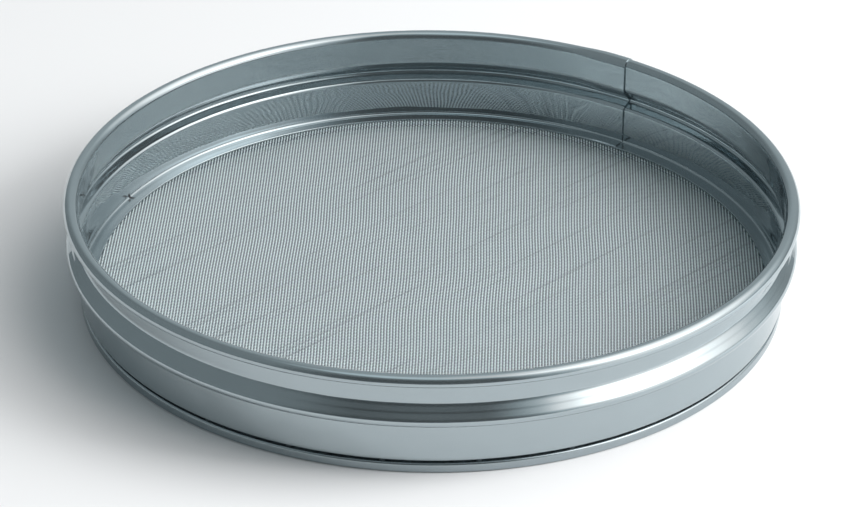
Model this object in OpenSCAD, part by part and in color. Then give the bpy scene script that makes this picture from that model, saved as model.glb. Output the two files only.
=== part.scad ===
// Drum sieve: a low round hoop of polished sheet with a flat woven wire bottom.
// The sieve stands on z = 0 and its axis is at x = 0, y = 0.
// All sizes are in millimetres and all angles in degrees.

/* [Hoop] */
// Diameter over the rolled rim
drum_d = 300; // [240:5:360]
// Thickness of the hoop's sheet
sheet_t = 0.8; // [0.6:0.1:1]
// Wall between the start of the rim's roll and the shoulder of the bead
upper_wall_h = 11; // [8:0.1:30]
// Wall between the bead's ledge and the flange at the bottom
lower_wall_h = 16.5; // [8:0.1:30]
// How far the flange reaches in from the wall
flange_w = 5.9; // [5.5:0.1:9]
// Inside radius of the corner between the wall and the flange
corner_r = 1.1; // [1.1:0.1:1.8]

/* [Rolled rim] */
// Width of the roll, from the inside of the wall to its outermost point
rim_w = 6; // [5:0.1:8]
// Height of the roll
rim_h = 4.6; // [4.5:0.1:5.6]
// Height of its round upper half, above the top of the wall
rim_rise = 3; // [2.4:0.1:3.1]
// Gap between the roll's cut edge and the outside of the wall
rim_gap = 0.3; // [0.1:0.05:0.6]

/* [Swaged bead] */
// How far the bead stands out from the wall
bead_out = 4.7; // [4.2:0.1:6]
// Outside radius of the bead's nose
bead_nose_r = 2.4; // [2:0.1:2.8]
// Slope of the bead's upper side below the horizontal
bead_slope = 48; // [40:1:54]
// Slope of the ledge under the bead, falling towards the inside
ledge_slope = 20; // [0:1:24]
// Outside radius of the shoulder, where the upper wall turns out into the bead
shoulder_r = 2.6; // [1.5:0.1:3]
// Outside radius of the crease, where the ledge turns down into the lower wall
crease_r = 0.8; // [0.2:0.1:1]

/* [Lap joint of the hoop] */
// Direction of the strip's inner end, counted from the right towards the back
lap_angle = 54.3; // [0:0.1:359]
// How far the inner end lies over the outer end
lap_w = 10; // [6:0.5:16]
// How much the inner end stands up on the rolled rim, where it is pressed flat
lap_rim_step = 0.4; // [0.2:0.05:0.6]
// How far round the roll the inner end goes, counted down from the roll's outermost point
lap_roll_turn = 40; // [0:5:60]
// How far the inner end stays behind the edge of the flange
lap_flange_gap = 0.3; // [0.1:0.1:1]
// Width of the groove along the edge of the outer end
groove_w = 0.4; // [0.2:0.1:1]
// Depth of that groove
groove_depth = 0.5; // [0.2:0.05:0.55]
// Width of the joggle, where the strip steps inwards by its own thickness
joggle_w = 16; // [4:1:24]

/* [Clamp ring] */
// Height of the ring, which is also the height of the cloth above the table
ring_h = 4.2; // [3.5:0.1:8]
// Thickness of the ring's sheet
ring_t = 0.8; // [0.6:0.1:1]
// How far the ring's side stays behind the outside of the hoop's wall
ring_inset = 0.4; // [0:0.1:0.8]
// Inside radius of the ring's two bends
ring_bend_r = 0.2; // [0.1:0.05:0.4]
// Width of the ring's foot, which is turned inwards
foot_w = 3; // [2.2:0.1:5]

/* [Wire cloth] */
// Diameter of one wire
wire_d = 0.4; // [0.3:0.05:0.6]
// Spacing of the wires in the real cloth
mesh_pitch = 1.2; // [0.9:0.1:2]
// One wire in this many is drawn
wires_per_line = 13; // [8:1:24]
// How far the cloth reaches in between the flange and the clamp ring
clamp_w = 1.8; // [1:0.1:2]
// Turn of the warp wires from the front-to-back direction
cloth_turn = -1.7; // [-45:0.1:45]

/* [Spot welds] */
// Number of spot welds that hold the clamp ring to the flange
spot_count = 24; // [12:1:36]
// Diameter of one spot weld
spot_d = 2.2; // [1.6:0.1:2.4]

/* [Hidden] */

hoop_steel = [0.60, 0.65, 0.68];
ring_steel = [0.52, 0.57, 0.60];
wire_steel = [0.80, 0.83, 0.84];
weld_steel = [0.35, 0.38, 0.40];

$fn = 180;
wire_fn = 24;
weld_fn = 32;
bend_step = 15;        // largest turn between two points of a bend
joggle_steps = 3;
cut_over = 0.05;       // how far a cut into a face starts off that face
cut_past = 1;          // how far a cut goes past an edge

// Radii, measured from the drum's axis
wall_in_r = drum_d / 2 - rim_w;
wall_r = wall_in_r + sheet_t / 2;
wall_out_r = wall_in_r + sheet_t;
flange_in_r = wall_in_r - flange_w;
cloth_r = flange_in_r + clamp_w;
spot_r = (cloth_r + wall_in_r - corner_r) / 2;
ring_out_r = wall_out_r - ring_inset;

// Bends, along the middle of the sheet
shoulder_mid_r = shoulder_r + sheet_t / 2;
crease_mid_r = crease_r + sheet_t / 2;
corner_mid_r = corner_r + sheet_t / 2;
nose_mid_r = bead_nose_r - sheet_t / 2;
shoulder_turn = 90 - bead_slope;
crease_turn = 90 - ledge_slope;
roll_half_w = (rim_w - sheet_t) / 2;
roll_rise = rim_rise - sheet_t / 2;
roll_fall = rim_h - rim_rise - sheet_t / 2;
roll_r = wall_r + roll_half_w;
roll_end = -acos((sheet_t + rim_gap - roll_half_w) / roll_half_w);

// Heights above the table
cloth_t = 2 * wire_d;
flange_z = ring_h + cloth_t + sheet_t / 2;
ledge_z = flange_z + lower_wall_h;
nose_r = wall_r + bead_out - nose_mid_r;
nose_z = ledge_z + (nose_r - wall_r) * tan(ledge_slope) + nose_mid_r / cos(ledge_slope);
slope_run = nose_r + nose_mid_r * sin(bead_slope) - wall_r;
shoulder_z = nose_z + nose_mid_r * cos(bead_slope) + slope_run * tan(bead_slope);
rim_z = shoulder_z + upper_wall_h;

// Spacing of the wires that are drawn, and how many lie on each side of the middle one
line_pitch = mesh_pitch * wires_per_line;
lines_each_side = floor((flange_in_r - wire_d) / line_pitch);

// A section is a path along the middle of its sheet. Each point of the path is
// [radius, height, normal's radius part, normal's height part, layer], where the normal
// points to the outside of the drum and layer is the thickness of a lap on the inner face.

// Points along a round bend. side is 1 where the drum's outside is outside the bend, else -1.
function bend(mid, r, from, to, side = 1) =
    let (n = ceil(abs(to - from) / bend_step))
    [for (i = [0:n])
        let (a = from + (to - from) * i / n)
        [mid[0] + r * cos(a), mid[1] + r * sin(a), side * cos(a), side * sin(a), sheet_t]];

// Points round the roll of the rim, round above and flatter below, which has the drum's outside
// on the inside of the roll. A lap has its full thickness at the wall and is pressed flat over
// the top.
function roll(from) =
    let (n = ceil((180 - from) / bend_step))
    [for (i = [0:n])
        let (
            a = from + (180 - from) * i / n,
            half_h = a > 0 ? roll_rise : roll_fall,
            across = half_h * cos(a),
            up = roll_half_w * sin(a),
            size = norm([across, up])
        )
        [roll_r + roll_half_w * cos(a), rim_z + half_h * sin(a), -across / size, -up / size,
            a > 90 ? sheet_t + (lap_rim_step - sheet_t) * sin(a) : lap_rim_step]];

// One face of a sheet: at a distance outwards from its middle, or inwards by a share of the lap
function face(path, out, lap = 0) =
    [for (p = path) let (d = out - lap * p[4]) [p[0] + d * p[2], p[1] + d * p[3]]];

function backwards(list) = [for (i = [len(list) - 1:-1:0]) list[i]];

// Closed outline between two faces, each given by its distance outwards and its share of the lap
function layer(path, out, lap, in, in_lap) =
    concat(face(path, out, lap), backwards(face(path, in, in_lap)));

// Closed outline of a sheet that follows a path
function sheet(path, t) = layer(path, t / 2, 0, -t / 2, 0);

// Angle that a width takes up on the wall
function turn(width) = width / wall_r * 180 / PI;

// The hoop's section below the rim, down the wall to an edge of the flange
function wall_path(edge_r) = concat(
    bend(
        [wall_r + shoulder_mid_r, shoulder_z + shoulder_mid_r * tan(shoulder_turn / 2)],
        shoulder_mid_r, 180, 180 + shoulder_turn, -1
    ),
    bend([nose_r, nose_z], nose_mid_r, shoulder_turn, -crease_turn),
    bend(
        [wall_r + crease_mid_r, ledge_z - crease_mid_r * tan(crease_turn / 2)],
        crease_mid_r, 180 - crease_turn, 180, -1
    ),
    bend([wall_r - corner_mid_r, flange_z + corner_mid_r], corner_mid_r, 0, -90),
    [[edge_r, flange_z, 0, -1, sheet_t]]
);

hoop_path = concat(roll(roll_end), wall_path(flange_in_r));
lap_path = concat(roll(-lap_roll_turn), wall_path(flange_in_r + lap_flange_gap));
joggle_path = concat(roll(-lap_roll_turn - bend_step), wall_path(flange_in_r - cut_past));

// The clamp ring's section: a flange under the cloth, a side and a foot
ring_mid_r = ring_bend_r + ring_t / 2;
ring_bend_x = ring_out_r - ring_t / 2 - ring_mid_r;
ring_path = concat(
    [[flange_in_r, ring_h - ring_t / 2, 0, 1, 0]],
    bend([ring_bend_x, ring_h - ring_t / 2 - ring_mid_r], ring_mid_r, 90, 0),
    bend([ring_bend_x, ring_t / 2 + ring_mid_r], ring_mid_r, 0, -90),
    [[ring_out_r - foot_w, ring_t / 2, 0, -1, 0]]
);

// A section turned about the drum's axis from one angle to another
module sweep(from, to, section) {
    rotate([0, 0, from])
        rotate_extrude(angle = to - from)
            polygon(section);
}

// A strip of sheet rolled into a hoop, its inner end stepped over its outer end
module drum_hoop() {
    groove_at = lap_angle + turn(lap_w);
    joggle_at = groove_at + turn(groove_w);
    joggle_end = joggle_at + turn(joggle_w);
    color(hoop_steel)
        difference() {
            union() {
                rotate_extrude()
                    polygon(sheet(hoop_path, sheet_t));
                sweep(lap_angle, joggle_end, layer(lap_path, 0, 0, -sheet_t / 2, 1));
            }
            sweep(groove_at, joggle_at,
                layer(hoop_path, sheet_t / 2 + cut_over, 0, sheet_t / 2 - groove_depth, 0));
            // the joggle falls from the inner end's face to the wall's in small steps
            for (i = [1:joggle_steps])
                sweep(
                    joggle_end - turn(joggle_w) * (joggle_steps + 1 - i) / (joggle_steps + 1),
                    joggle_end + turn(cut_past),
                    layer(joggle_path, -sheet_t / 2, 1 - i / (joggle_steps + 1), -sheet_t / 2 - cut_over, 1)
                );
        }
}

module clamp_ring() {
    color(ring_steel)
        rotate_extrude()
            polygon(sheet(ring_path, ring_t));
}

// Parallel straight wires across the drum, each held under the flange at both ends
module wire_layer(z) {
    for (i = [-lines_each_side:lines_each_side]) {
        x = i * line_pitch;
        half_length = sqrt(pow(cloth_r, 2) - pow(abs(x) + wire_d / 2, 2));
        translate([x, half_length, z])
            rotate([90, 0, 0])
                cylinder(d = wire_d, h = 2 * half_length, $fn = wire_fn);
    }
}

module warp_wires() {
    color(wire_steel)
        rotate([0, 0, cloth_turn])
            wire_layer(ring_h + cloth_t - wire_d / 2);
}

module weft_wires() {
    color(wire_steel)
        rotate([0, 0, cloth_turn + 90])
            wire_layer(ring_h + wire_d / 2);
}

// Nuggets that join the flange and the clamp ring just outside the cloth
module spot_welds() {
    color(weld_steel)
        for (i = [0:spot_count - 1])
            rotate([0, 0, (i + 0.5) * 360 / spot_count])
                translate([spot_r, 0, ring_h])
                    cylinder(d = spot_d, h = cloth_t, $fn = weld_fn);
}

drum_hoop();
clamp_ring();
warp_wires();
weft_wires();
spot_welds();
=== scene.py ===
import math

import bpy
import numpy as np
from mathutils import Matrix, Vector


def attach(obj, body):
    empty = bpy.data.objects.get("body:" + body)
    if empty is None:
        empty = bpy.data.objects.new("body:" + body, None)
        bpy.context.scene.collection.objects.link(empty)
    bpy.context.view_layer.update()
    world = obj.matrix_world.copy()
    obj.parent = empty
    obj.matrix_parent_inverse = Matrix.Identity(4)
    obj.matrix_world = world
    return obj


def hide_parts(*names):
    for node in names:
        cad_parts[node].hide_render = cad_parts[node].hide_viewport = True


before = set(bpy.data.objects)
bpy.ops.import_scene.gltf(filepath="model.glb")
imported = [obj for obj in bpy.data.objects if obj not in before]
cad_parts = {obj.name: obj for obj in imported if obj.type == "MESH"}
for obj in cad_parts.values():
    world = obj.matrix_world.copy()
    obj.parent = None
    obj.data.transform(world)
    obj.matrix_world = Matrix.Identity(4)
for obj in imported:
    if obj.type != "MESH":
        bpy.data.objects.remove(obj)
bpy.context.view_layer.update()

MM = 0.001
DEG = math.pi / 180

# Camera, from the rim, bead, wall and cloth outlines
PHOTO_WIDTH = 850
FOCAL_PIXELS = 3713
VIEW_DOWN = 29.35 * DEG
VIEW_ROLL = 0.00623
CAMERA_PLACE = (-2.66, -1332.63, 763.996)
SENSOR_WIDTH = 36
FARTHEST_SEEN = 50

# Sizes of the part, in millimetres, as in its construction source
DRUM_R = 150
SHEET_T = 0.8
RIM_W = 6
RIM_H = 4.6
RIM_RISE = 3
RIM_GAP = 0.3
BEAD_OUT = 4.7
BEAD_NOSE_R = 2.4
BEAD_SLOPE = 48 * DEG
LEDGE_SLOPE = 20 * DEG
SHOULDER_R = 2.6
CREASE_R = 0.8
CORNER_R = 1.1
FLANGE_W = 5.9
UPPER_WALL_H = 11
LOWER_WALL_H = 16.5
RING_H = 4.2
RING_T = 0.8
RING_INSET = 0.4
RING_BEND_R = 0.2
FOOT_W = 3
WIRE_D = 0.4
MESH_PITCH = 1.2
CLAMP_W = 1.8
CLOTH_TURN = -1.7 * DEG

# The lap joint, at its angle from +X towards +Y
LAP_ANGLE = 54.3 * DEG
LAP_W = 10
LAP_RIM_STEP = 0.4
LAP_ROLL_TURN = -40 * DEG
LAP_FLANGE_GAP = 0.3
GROOVE_W = 0.4
GROOVE_DEPTH = 0.5
JOGGLE_W = 16

WALL_R = DRUM_R - RIM_W + SHEET_T / 2
FLANGE_IN_R = DRUM_R - RIM_W - FLANGE_W
CLOTH_R = FLANGE_IN_R + CLAMP_W
RING_OUT_R = DRUM_R - RIM_W + SHEET_T - RING_INSET
FLANGE_Z = RING_H + 2 * WIRE_D + SHEET_T / 2
CLOTH_Z = RING_H + WIRE_D

# Detail that only the scene has, in millimetres
LAP_PRESSED = 0.45
LAP_CHAMFER = 0.08
LAP_CHAMFER_FROM = 0.9
GROOVE_LIP = 0.05
PRESS_LINE_H = 0.03
PRESS_LINE_SHARES = (0.42, 0.54)
EDGE_ROUND = 0.12
EDGE_SHARE = 0.7
# The flange's low crown over the cloth's edge: distance from the corner, and height
FLANGE_CROWN = (
    (0.3, 0.01), (0.7, 0.06), (1.2, 0.13), (1.7, 0.16), (2.2, 0.13), (3.2, 0.05), (4.0, 0.0),
)
WIRE_FULLNESS = 1.05
WIRE_END_GAP = 0.1
CLOTH_SELVEDGE = 0.5
DRIFT_LONG = 0.30
DRIFT_SHORT = 0.16
DRIFT_CROSS = 0.22

# How finely the pieces are drawn
HOOP_COLUMNS = 400
LAP_COLUMNS = 8
JOGGLE_COLUMNS = 10
RING_COLUMNS = 480
BEND_STEP = 7 * DEG
SUPPORT = 0.25
SAME_POINT = 1e-5
SHARP_FROM = 35 * DEG
WIRE_SIDES = 4
WIRE_STEPS = 2
SHORTEST_STEP = 0.3
BUNDLES = 5

# The short dark mark on the hoop's inner corner, at its angle from +Y towards -X
MARK_ANGLE = 64 * DEG
MARK_COLOUR = (0.05, 0.055, 0.06)

# Strength of the studio's lights
WALL_LIGHT = 0.26
BACK_LIGHT = 0.28
LEFT_LIGHT = 0.07
CAMERA_SIDE_SHADE = 0.62
WINDOW_LIGHT = 2.2
GLARE_LIGHT = 1.4
CEILING_LIGHT = 1.0
KEY_POWER = 12.8

TABLE_HALF = 6.0


def make_camera():
    """The photograph's view of the drum."""
    data = bpy.data.cameras.new("photo_view")
    data.sensor_width = SENSOR_WIDTH
    data.lens = FOCAL_PIXELS * data.sensor_width / PHOTO_WIDTH
    data.clip_end = FARTHEST_SEEN
    eye = bpy.data.objects.new("photo_view", data)
    bpy.context.scene.collection.objects.link(eye)
    ahead = Vector((0, math.cos(VIEW_DOWN), -math.sin(VIEW_DOWN)))
    level_up = Vector((0, math.sin(VIEW_DOWN), math.cos(VIEW_DOWN)))
    level_right = Vector((1, 0, 0))
    c, s = math.cos(VIEW_ROLL), math.sin(VIEW_ROLL)
    right = level_right * c + level_up * s
    up = level_up * c - level_right * s
    turn = Matrix((right, up, -ahead)).transposed().to_4x4()
    eye.matrix_world = Matrix.Translation(Vector(CAMERA_PLACE) * MM) @ turn
    bpy.context.scene.camera = eye


make_camera()


# Shapes. A path follows the middle of a sheet's section: each of its points has a radius,
# a height, the direction of the sheet's outer face and the thickness that the lap adds there.

def new_piece(name, points, corners, sizes, material, sharp=SHARP_FROM):
    """A mesh object from points in millimetres, the faces' corners in one list and their counts."""
    mesh = bpy.data.meshes.new(name)
    mesh.vertices.add(len(points))
    mesh.vertices.foreach_set("co", (np.asarray(points, np.float64) * MM).ravel())
    mesh.loops.add(len(corners))
    mesh.loops.foreach_set("vertex_index", np.asarray(corners, np.int32))
    mesh.polygons.add(len(sizes))
    starts = np.concatenate(([0], np.cumsum(sizes)[:-1]))
    mesh.polygons.foreach_set("loop_start", starts.astype(np.int32))
    mesh.polygons.foreach_set("loop_total", np.asarray(sizes, np.int32))
    mesh.polygons.foreach_set("use_smooth", np.ones(len(sizes), bool))
    mesh.update(calc_edges=True)
    mesh.validate()
    if sharp:
        mesh.set_sharp_from_angle(angle=sharp)
    mesh.materials.append(material)
    piece = bpy.data.objects.new(name, mesh)
    bpy.context.scene.collection.objects.link(piece)
    return piece


def bend(mid, radius, start, end, side=1):
    """Path round a bend; side is 1 where the sheet's outer face is outside the bend, else -1."""
    n = max(3, math.ceil(abs(end - start) / BEND_STEP))
    turns = np.linspace(start, end, n + 1)
    across, up = np.cos(turns), np.sin(turns)
    return [
        (mid[0] + radius * a, mid[1] + radius * u, side * a, side * u, SHEET_T)
        for a, u in zip(across, up)
    ]


def roll(start):
    """Path of the rim, round above and flatter below, from under its outer side to the wall."""
    half_w = (RIM_W - SHEET_T) / 2
    n = math.ceil((math.pi - start) / BEND_STEP)
    made = []
    for turn in np.linspace(start, math.pi, n + 1):
        half_h = (RIM_RISE if turn > 0 else RIM_H - RIM_RISE) - SHEET_T / 2
        across, up = half_h * math.cos(turn), half_w * math.sin(turn)
        size = math.hypot(across, up)
        layer = LAP_RIM_STEP
        if turn > math.pi / 2:
            layer = SHEET_T + (LAP_RIM_STEP - SHEET_T) * math.sin(turn)
        if turn < LAP_ROLL_TURN:
            layer = 0
        made.append((
            WALL_R + half_w + half_w * math.cos(turn), RIM_Z + half_h * math.sin(turn),
            -across / size, -up / size, layer,
        ))
    return made


def with_supports(path):
    """Adds a point close to each end of a long straight run, so that bends stay crisp."""
    made = [path[0]]
    for a, b in zip(path, path[1:]):
        run = math.hypot(b[0] - a[0], b[1] - a[1])
        if run > 5 * SUPPORT:
            for share in (SUPPORT / run, 1 - SUPPORT / run):
                made.append(tuple(p + (q - p) * share for p, q in zip(a, b)))
        made.append(b)
    return made


def tangent_heights():
    """Heights of the ledge, nose, shoulder and rim along the wall."""
    nose_r = BEAD_NOSE_R - SHEET_T / 2
    ledge = FLANGE_Z + LOWER_WALL_H
    nose_x = WALL_R + BEAD_OUT - nose_r
    nose = ledge + (nose_x - WALL_R) * math.tan(LEDGE_SLOPE) + nose_r / math.cos(LEDGE_SLOPE)
    run = nose_x + nose_r * math.sin(BEAD_SLOPE) - WALL_R
    shoulder = nose + nose_r * math.cos(BEAD_SLOPE) + run * math.tan(BEAD_SLOPE)
    return ledge, nose, shoulder, shoulder + UPPER_WALL_H


LEDGE_Z, NOSE_Z, SHOULDER_Z, RIM_Z = tangent_heights()


def press_line(above, below):
    """Two points that bend the bead's slope a little where the roller's edge has marked it."""
    made = []
    for share, out in zip(PRESS_LINE_SHARES, (PRESS_LINE_H, -PRESS_LINE_H)):
        mid = [a + (b - a) * share for a, b in zip(above, below)]
        made.append((mid[0] + mid[2] * out, mid[1] + mid[3] * out, *mid[2:]))
    return made


def hoop_path():
    """Path of the hoop, from the roll's hidden edge down the wall and bead to the flange's edge."""
    shoulder_r = SHOULDER_R + SHEET_T / 2
    crease_r = CREASE_R + SHEET_T / 2
    corner_r = CORNER_R + SHEET_T / 2
    nose_r = BEAD_NOSE_R - SHEET_T / 2
    down = math.pi / 2 - BEAD_SLOPE
    back = math.pi / 2 - LEDGE_SLOPE
    roll_half = (RIM_W - SHEET_T) / 2
    roll_end = -math.acos((SHEET_T + RIM_GAP - roll_half) / roll_half)
    path = roll(roll_end)
    path += bend(
        (WALL_R + shoulder_r, SHOULDER_Z + shoulder_r * math.tan(down / 2)),
        shoulder_r, math.pi, math.pi + down, -1,
    )
    nose = bend((WALL_R + BEAD_OUT - nose_r, NOSE_Z), nose_r, down, -back)
    path += press_line(path[-1], nose[0]) + nose
    path += bend(
        (WALL_R + crease_r, LEDGE_Z - crease_r * math.tan(back / 2)),
        crease_r, math.pi - back, math.pi, -1,
    )
    corner = bend((WALL_R - corner_r, FLANGE_Z + corner_r), corner_r, 0, -math.pi / 2)
    path += [(*point[:4], LAP_PRESSED) for point in corner]
    for inward, rise in FLANGE_CROWN:
        path.append((WALL_R - corner_r - inward, FLANGE_Z + rise, 0, -1, LAP_PRESSED))
    path.append((FLANGE_IN_R + LAP_FLANGE_GAP, FLANGE_Z, 0, -1, LAP_PRESSED))
    path.append((FLANGE_IN_R + LAP_FLANGE_GAP / 2, FLANGE_Z, 0, -1, 0))
    path.append((FLANGE_IN_R, FLANGE_Z, 0, -1, 0))
    return with_supports(path)


def unit(v):
    return v / np.linalg.norm(v)


def section(path, t, lap, groove):
    """Closed outline of a sheet along a path: outer face, rounded end, inner face, rounded start."""
    p = np.array(path)
    mid, out, layer = p[:, :2], p[:, 2:4], p[:, 4:5]
    outer = mid + out * (t / 2 - groove)
    inner = mid - out * (t / 2 + lap * layer)
    first, last = mid[0], mid[-1]
    onward, back = unit(mid[1] - first), unit(mid[-2] - last)
    for face in (outer, inner):
        face[0] += onward * EDGE_ROUND
        face[-1] += back * EDGE_ROUND
    end = [last + (face[-1] - last) * EDGE_SHARE for face in (outer, inner)]
    start = [first + (face[0] - first) * EDGE_SHARE for face in (inner, outer)]
    end = [e - back * np.dot(e - last, back) for e in end]
    start = [s - onward * np.dot(s - first, onward) for s in start]
    return np.vstack([outer, end, inner[::-1], start])


def revolve(columns):
    """Points and four-sided faces of a closed skin round Z through (angle, outline) columns."""
    points = np.vstack([
        np.column_stack([o[:, 0] * math.cos(a), o[:, 0] * math.sin(a), o[:, 1]])
        for a, o in columns
    ])
    n, m = len(columns), len(columns[0][1])
    i, j = np.meshgrid(np.arange(n), np.arange(m), indexing="ij")
    i2, j2 = (i + 1) % n, (j + 1) % m
    quads = np.stack([i * m + j, i2 * m + j, i2 * m + j2, i * m + j2], -1).reshape(-1, 4)
    return points, quads


def welded(points, quads):
    """Merges points that lie on each other and drops the faces that this closes up."""
    keys = np.round(points / SAME_POINT).astype(np.int64)
    _, first, place = np.unique(keys, axis=0, return_index=True, return_inverse=True)
    corners, sizes = [], []
    for quad in place.ravel()[quads]:
        ring = [q for k, q in enumerate(quad) if q != quad[k - 1]]
        if len(ring) > 2 and len(set(ring)) == len(ring):
            corners += ring
            sizes.append(len(ring))
    return points[first], corners, sizes


def smooth_fall(x):
    """From 1 at 0 to 0 at 1, level at both ends."""
    return 1 - x * x * (3 - 2 * x)


def hoop_stations():
    """Where the hoop's outline stands round the drum: (angle, share of the lap, groove's depth)."""
    groove_at = LAP_ANGLE + LAP_W / WALL_R
    joggle_at = groove_at + GROOVE_W / WALL_R
    joggle_end = joggle_at + JOGGLE_W / WALL_R
    chamfer = LAP_CHAMFER / WALL_R
    stations = [
        (LAP_ANGLE, 0, 0), (LAP_ANGLE, LAP_CHAMFER_FROM, 0),
        (LAP_ANGLE + chamfer, 1, 0), (LAP_ANGLE + 4 * chamfer, 1, 0),
    ]
    stations += [(a, 1, 0) for a in np.linspace(LAP_ANGLE, groove_at, LAP_COLUMNS)[1:-1]]
    stations += [
        (groove_at - chamfer, 1, 0), (groove_at, 1, GROOVE_LIP), (groove_at, 1, GROOVE_DEPTH),
        (joggle_at, 1, GROOVE_DEPTH), (joggle_at, 1, GROOVE_LIP), (joggle_at + chamfer, 1, 0),
    ]
    stations += [
        (joggle_at + (joggle_end - joggle_at) * x, smooth_fall(x), 0)
        for x in np.linspace(1 / JOGGLE_COLUMNS, 1, JOGGLE_COLUMNS)
    ]
    rest = np.linspace(joggle_end, LAP_ANGLE + 2 * math.pi, HOOP_COLUMNS)[1:-1]
    return stations + [(a, 0, 0) for a in rest]


def build_hoop(material):
    path = hoop_path()
    columns = [(a, section(path, SHEET_T, lap, groove)) for a, lap, groove in hoop_stations()]
    points, quads = revolve(columns)
    return new_piece("drum_hoop_sheet", *welded(points, quads[:, ::-1]), material)


def build_ring(material):
    t = RING_T
    mid_r = RING_BEND_R + t / 2
    x = RING_OUT_R - t / 2 - mid_r
    path = [(FLANGE_IN_R, RING_H - t / 2, 0, 1, 0)]
    path += bend((x, RING_H - t / 2 - mid_r), mid_r, math.pi / 2, 0)
    path += bend((x, t / 2 + mid_r), mid_r, 0, -math.pi / 2)
    path.append((RING_OUT_R - FOOT_W, t / 2, 0, -1, 0))
    outline = section(with_supports(path), t, 0, 0)
    angles = np.linspace(0, 2 * math.pi, RING_COLUMNS, endpoint=False)
    points, quads = revolve([(a, outline) for a in angles])
    return new_piece("clamp_ring_sheet", *welded(points, quads[:, ::-1]), material)


def cloth_drift(x, y):
    """How far the stretched cloth has crept in its plane from its true grid; none at the clamp."""
    held = np.clip(1 - (x * x + y * y) / CLOTH_R ** 2, 0, 1)
    long_wave = np.sin(y / 19 + x / 55 + 0.4)
    short_wave = np.sin(y / 9 - x / 31 + 2)
    cross_wave = np.sin(x / 23 - y / 47 + 1.3)
    along_x = DRIFT_LONG * long_wave + DRIFT_SHORT * short_wave
    return np.column_stack([along_x * held, DRIFT_CROSS * cross_wave * held])


def build_wires(name, turn, phase, lines, material):
    """Woven wires along Y, then turned: each goes over and under the wires that cross it."""
    reach = CLOTH_R - WIRE_END_GAP
    step = MESH_PITCH / WIRE_STEPS
    side = np.arange(WIRE_SIDES)
    turns = side * 2 * math.pi / WIRE_SIDES + math.pi / 4
    radius = WIRE_D / 2 * WIRE_FULLNESS
    points, quads, ends, crossings = [], [], [], []
    count = 0
    for i in lines:
        x = i * MESH_PITCH
        half = math.sqrt(reach ** 2 - (abs(x) + WIRE_D / 2) ** 2)
        n = int(half / step)
        y = np.concatenate(([-half], np.arange(-n, n + 1) * step, [half]))
        if half - n * step < SHORTEST_STEP * step:
            y = np.delete(y, [1, -2])
        over = 1 if (i + phase) % 2 == 0 else -1
        wave = over * WIRE_D / 2
        z = CLOTH_Z + wave * np.cos(math.pi * y / MESH_PITCH)
        slope = -wave * math.pi / MESH_PITCH * np.sin(math.pi * y / MESH_PITCH)
        size = np.hypot(1, slope)
        for a in turns:
            across, up = radius * math.cos(a), radius * math.sin(a)
            points.append(np.column_stack([
                np.full(len(y), x + across), y - up * slope / size, z + up / size,
            ]))
        m = len(y)
        base = count + side[:, None] * m + np.arange(m - 1)
        after = count + ((side + 1) % WIRE_SIDES)[:, None] * m + np.arange(m - 1)
        quads.append(np.stack([base, base + 1, after + 1, after], -1).reshape(-1, 4))
        first = count + side * m
        ends += [first[::-1], first + m - 1]
        # Mask for the wire finish's painted light: 1 all along the warp, and for the weft 1 at its
        # crossings and 0 halfway between
        along = np.ones(m) if phase == 0 else 0.5 + 0.5 * np.cos(2 * math.pi * y / MESH_PITCH)
        crossings += [along] * WIRE_SIDES
        count += WIRE_SIDES * m
    points = np.vstack(points)
    c, s = math.cos(turn), math.sin(turn)
    points = np.column_stack([
        points[:, 0] * c - points[:, 1] * s, points[:, 0] * s + points[:, 1] * c, points[:, 2],
    ])
    points[:, :2] += cloth_drift(points[:, 0], points[:, 1])
    quads = np.vstack(quads)
    corners = np.concatenate([quads.ravel(), *ends])
    sizes = [4] * len(quads) + [WIRE_SIDES] * len(ends)
    wires = new_piece(name, points, corners, sizes, material, sharp=None)
    crossing = wires.data.attributes.new("crossing", "FLOAT", "POINT")
    crossing.data.foreach_set("value", np.concatenate(crossings))
    return wires


# Finishes

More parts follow.
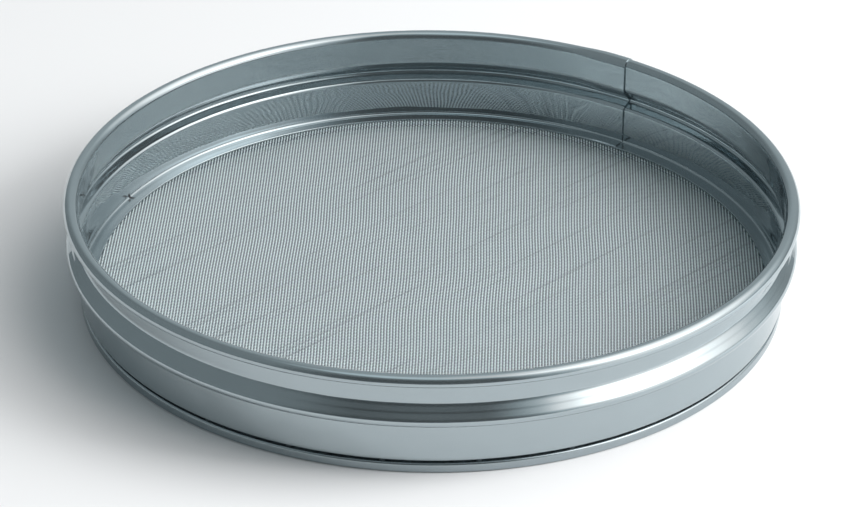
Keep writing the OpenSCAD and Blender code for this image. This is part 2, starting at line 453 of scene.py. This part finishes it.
class Shade:
    """A shader socket that takes part in sums, and makes the nodes around it."""

    def __init__(self, tree, socket=None):
        self.tree = tree
        self.socket = socket

    def make(self, kind, settings=(), out=0, **inputs):
        """Adds a node of a kind, with its settings first and then its inputs by name or index."""
        node = self.tree.nodes.new(kind)
        for key, value in dict(settings).items():
            setattr(node, key, value)
        for key, value in inputs.items():
            key = int(key[1:]) if key[0] == "_" else key.replace("_", " ")
            socket = node.inputs[key]
            if isinstance(value, Shade):
                self.tree.links.new(value.socket, socket)
            elif hasattr(socket.default_value, "__len__") and len(socket.default_value) == 4:
                socket.default_value = (*value[:3], 1)
            else:
                socket.default_value = value
        return Shade(self.tree, node.outputs[out] if len(node.outputs) else None)

    def math(self, operation, *values):
        """A maths node over values that are shades or plain numbers."""
        inputs = {f"_{i}": value for i, value in enumerate(values)}
        return self.make("ShaderNodeMath", {"operation": operation}, **inputs)

    def __add__(self, other):
        return self.math("ADD", self, other)

    __radd__ = __add__

    def __sub__(self, other):
        return self.math("SUBTRACT", self, other)

    def __rsub__(self, other):
        return self.math("SUBTRACT", other, self)

    def __mul__(self, other):
        return self.math("MULTIPLY", self, other)

    def __truediv__(self, other):
        return self.math("DIVIDE", self, other)

    def absolute(self):
        return self.math("ABSOLUTE", self)

    def root(self):
        return self.math("SQRT", self)

    def parts(self):
        """The x, y and z of a vector."""
        split = self.make("ShaderNodeSeparateXYZ", Vector=self).socket.node
        return [Shade(self.tree, socket) for socket in split.outputs]

    def fade(self, low, high):
        """0 below low, 1 above high, or the other way round."""
        return self.make(
            "ShaderNodeMapRange", {"interpolation_type": "SMOOTHSTEP"},
            Value=self, _1=low, _2=high, _3=0, _4=1,
        )

    def mixed(self, a, b):
        """Colour a where this is 0 and b where it is 1."""
        return self.make("ShaderNodeMix", {"data_type": "RGBA"}, out=2, _0=self, _6=a, _7=b)

    def noise(self, place, scale, detail=2, roughness=0.5):
        return self.make(
            "ShaderNodeTexNoise", Vector=place, Scale=scale, Detail=detail, Roughness=roughness,
        )


def new_material(name):
    material = bpy.data.materials.new(name)
    material.use_nodes = True
    tree = material.node_tree
    tree.nodes.clear()
    return material, Shade(tree)


def finish_material(start, shader):
    start.make("ShaderNodeOutputMaterial", Surface=shader)


def drum_coordinates(start):
    """Place on the drum in millimetres: x, y, z and the distance from its axis."""
    x, y, z = (part * 1000 for part in start.make("ShaderNodeTexCoord", out="Object").parts())
    return x, y, z, (x * x + y * y).root()


def corner_mark(x, y, z, r):
    """1 on the short dark mark on the hoop's inner corner, and 0 elsewhere."""
    mark_x, mark_y = -math.sin(MARK_ANGLE), math.cos(MARK_ANGLE)
    along = x * mark_y - y * mark_x
    outward = x * mark_x + y * mark_y
    near = along.absolute().fade(0.95, 0.5)
    low = z.fade(8.1, 7.0) * r.fade(141.0, 141.8)
    return near * low * outward.fade(120, 125)


def rolled_steel(name, dark, light, roughness, mark=False):
    """Bright rolled sheet: fine lines round the drum, faint scratches, handling haze, low dents."""
    material, start = new_material(name)
    x, y, z, r = drum_coordinates(start)
    across = z + r * 0.83
    around_x, around_y = x / r, y / r

    def sheet_noise(round_drum, over_sheet, scale=1.0, detail=2, roughness=0.5):
        """Noise that is stretched along the sheet: how fine round the drum, and over its section."""
        place = start.make(
            "ShaderNodeCombineXYZ",
            X=around_x * round_drum, Y=around_y * round_drum, Z=across * over_sheet,
        )
        return start.noise(place, scale, detail, roughness)

    lines = sheet_noise(1.5, 9, detail=3, roughness=0.65)
    haze = sheet_noise(9, 0.12, detail=4, roughness=0.6)
    scratch = sheet_noise(5, 3.1, scale=2.3, roughness=0.7).fade(0.66, 0.72)
    dents = sheet_noise(6, 0.09, detail=1)
    tone = haze * 0.55 + lines * 0.45
    colour = tone.mixed(dark, light)
    if mark:
        colour = corner_mark(x, y, z, r).mixed(colour, MARK_COLOUR)
    rough = roughness * 0.7 + haze * (roughness * 0.5) + lines * (roughness * 0.25)
    rough = rough + scratch * 0.05
    height = dents * 0.35 + (lines * 0.6 + haze * 0.4 - scratch * 0.5) * 0.004
    bump = start.make("ShaderNodeBump", Strength=1.0, Distance=MM, Height=height)
    shader = start.make(
        "ShaderNodeBsdfPrincipled", Base_Color=colour, Metallic=0.92, Roughness=rough, Normal=bump,
    )
    finish_material(start, shader)
    return material


def drawn_wire(name, low, bright, roughness):
    """Woven wire with painted light: the warp and the crossings are painted bright as if lit, and
    the weft between them is painted in shade.
    """
    material, start = new_material(name)
    place = start.make("ShaderNodeTexCoord", out="Object")
    crossing = start.make("ShaderNodeAttribute", {"attribute_name": "crossing"}, out="Fac")
    x, y = drum_coordinates(start)[:2]
    patch = start.noise(place, 14, detail=3)
    fine = start.noise(place, 900, detail=1)
    # Painted shade along faint diagonal bands across the cloth
    diagonal = start.make("ShaderNodeCombineXYZ", X=(x - y) * 0.34, Y=(x + y) * 0.003, Z=0.0)
    diagonal_shade = start.noise(diagonal, 1.0, roughness=0.6).fade(0.58, 0.66)
    # Painted light: bright all along the warp and at the weft's crossings, painted shade on the weft
    # between them
    tone = crossing.fade(0.25, 0.66) * (1 - diagonal_shade * 0.3) * (0.9 + patch * 0.1 + fine * 0.1)
    colour = tone.mixed(low, bright)
    rough = roughness + fine * 0.1
    bump = start.make("ShaderNodeBump", Strength=0.1, Distance=0.00002, Height=fine)
    shader = start.make(
        "ShaderNodeBsdfPrincipled", Base_Color=colour, Metallic=0.62, Roughness=rough, Normal=bump,
    )
    finish_material(start, shader)
    return material


def table_finish():
    material, start = new_material("pale_table")
    place = start.make("ShaderNodeTexCoord", out="Object")
    grain = start.noise(place, 3)
    colour = grain.mixed((0.76, 0.77, 0.78), (0.78, 0.79, 0.80))
    finish_material(start, start.make("ShaderNodeBsdfDiffuse", Color=colour))
    return material


# The stage

def build_table():
    size = TABLE_HALF
    corners = [(-size, -size, 0), (size, -size, 0), (size, size, 0), (-size, size, 0)]
    mesh = bpy.data.meshes.new("table")
    mesh.from_pydata([Vector(c) for c in corners], [], [(0, 1, 2, 3)])
    mesh.materials.append(table_finish())
    table = bpy.data.objects.new("table", mesh)
    bpy.context.scene.collection.objects.link(table)


def soft_lamp(name, place, target, size, power):
    data = bpy.data.lights.new(name, "AREA")
    data.shape = "RECTANGLE"
    data.size, data.size_y = size
    data.energy = power
    lamp = bpy.data.objects.new(name, data)
    bpy.context.scene.collection.objects.link(lamp)
    lamp.location = place
    aim = Vector(target) - Vector(place)
    lamp.rotation_euler = aim.to_track_quat("-Z", "Y").to_euler()
    return lamp


def build_world():
    """A cool studio: a large soft window at the right and a dark side behind the camera."""
    world = bpy.data.worlds.new("studio")
    world.use_nodes = True
    tree = world.node_tree
    tree.nodes.clear()
    start = Shade(tree)
    x, y, z = start.make("ShaderNodeTexCoord", out="Generated").parts()
    turn = x.math("ARCTAN2", x, y) / DEG
    height = z.math("ARCSINE", z) / DEG

    def toward(middle, half, soft):
        """1 within half a width of an azimuth, counted from +Y to +X, and 0 past a soft edge."""
        apart = turn.math("WRAP", turn - middle, 180, -180)
        return apart.absolute().fade(half + soft, half)

    walls = WALL_LIGHT + toward(8, 10, 42) * BACK_LIGHT + toward(-95, 20, 50) * LEFT_LIGHT
    camera_side = toward(180, 20, 36) * height.fade(2, 16) * height.fade(62, 44)
    walls = walls * (1 - camera_side * CAMERA_SIDE_SHADE)
    leaning_turn = turn + height.math("MINIMUM", height, 48) * 1.2
    window = leaning_turn.fade(50, 125) * turn.fade(160, 110)
    window = window * (0.7 + height.fade(14, 44) * 0.3)
    glare = toward(102, 6, 30) * height.fade(18, 38) * height.fade(74, 50)
    side = walls * (1 - window) + window * WINDOW_LIGHT + glare * GLARE_LIGHT
    ceiling = height.fade(62, 84)
    light = side * (1 - ceiling) + ceiling * CEILING_LIGHT
    tint = side.fade(0.2, 1.6).mixed((0.88, 1.0, 1.04), (1.04, 1.0, 0.98))
    background = start.make("ShaderNodeBackground", Color=tint, Strength=light)
    start.make("ShaderNodeOutputWorld", Surface=background)
    bpy.context.scene.world = world


build_world()
build_table()
key = soft_lamp("key", (1.0, -0.12, 0.65), (0, 0, 0), (0.6, 0.6), KEY_POWER)
key.visible_glossy = False
bpy.context.scene.view_settings.view_transform = "Standard"

hoop_steel = rolled_steel(
    "hoop_steel", dark=(0.36, 0.415, 0.435), light=(0.42, 0.48, 0.505), roughness=0.035, mark=True,
)
ring_steel = rolled_steel(
    "ring_steel", dark=(0.33, 0.38, 0.40), light=(0.39, 0.445, 0.47), roughness=0.14,
)
# low is the painted shade colour of the weft between crossings, bright the painted lit colour of the
# warp and the crossings
wire_steel = drawn_wire(
    "wire_steel", low=(0.12, 0.165, 0.20), bright=(0.89, 0.98, 1.0), roughness=0.4,
)
weld_steel = rolled_steel(
    "weld_steel", dark=(0.28, 0.31, 0.33), light=(0.40, 0.43, 0.45), roughness=0.45,
)

hoop = build_hoop(hoop_steel)
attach(hoop, "root")
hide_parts("drum_hoop")

ring = build_ring(ring_steel)
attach(ring, "root")
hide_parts("clamp_ring")

lines = int((CLOTH_R - CLOTH_SELVEDGE) / MESH_PITCH)
every = list(range(-lines, lines + 1))
layers = (("warp_wires", CLOTH_TURN, 0), ("weft_wires", CLOTH_TURN + math.pi / 2, 1))
for node, turn, phase in layers:
    for k in range(BUNDLES):
        share = every[k * len(every) // BUNDLES:(k + 1) * len(every) // BUNDLES]
        bundle = build_wires(f"{node}_woven_{k + 1}", turn, phase, share, wire_steel)
        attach(bundle, "root")
        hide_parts(node)

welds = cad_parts["spot_welds"]
for slot in welds.material_slots:
    slot.material = weld_steel
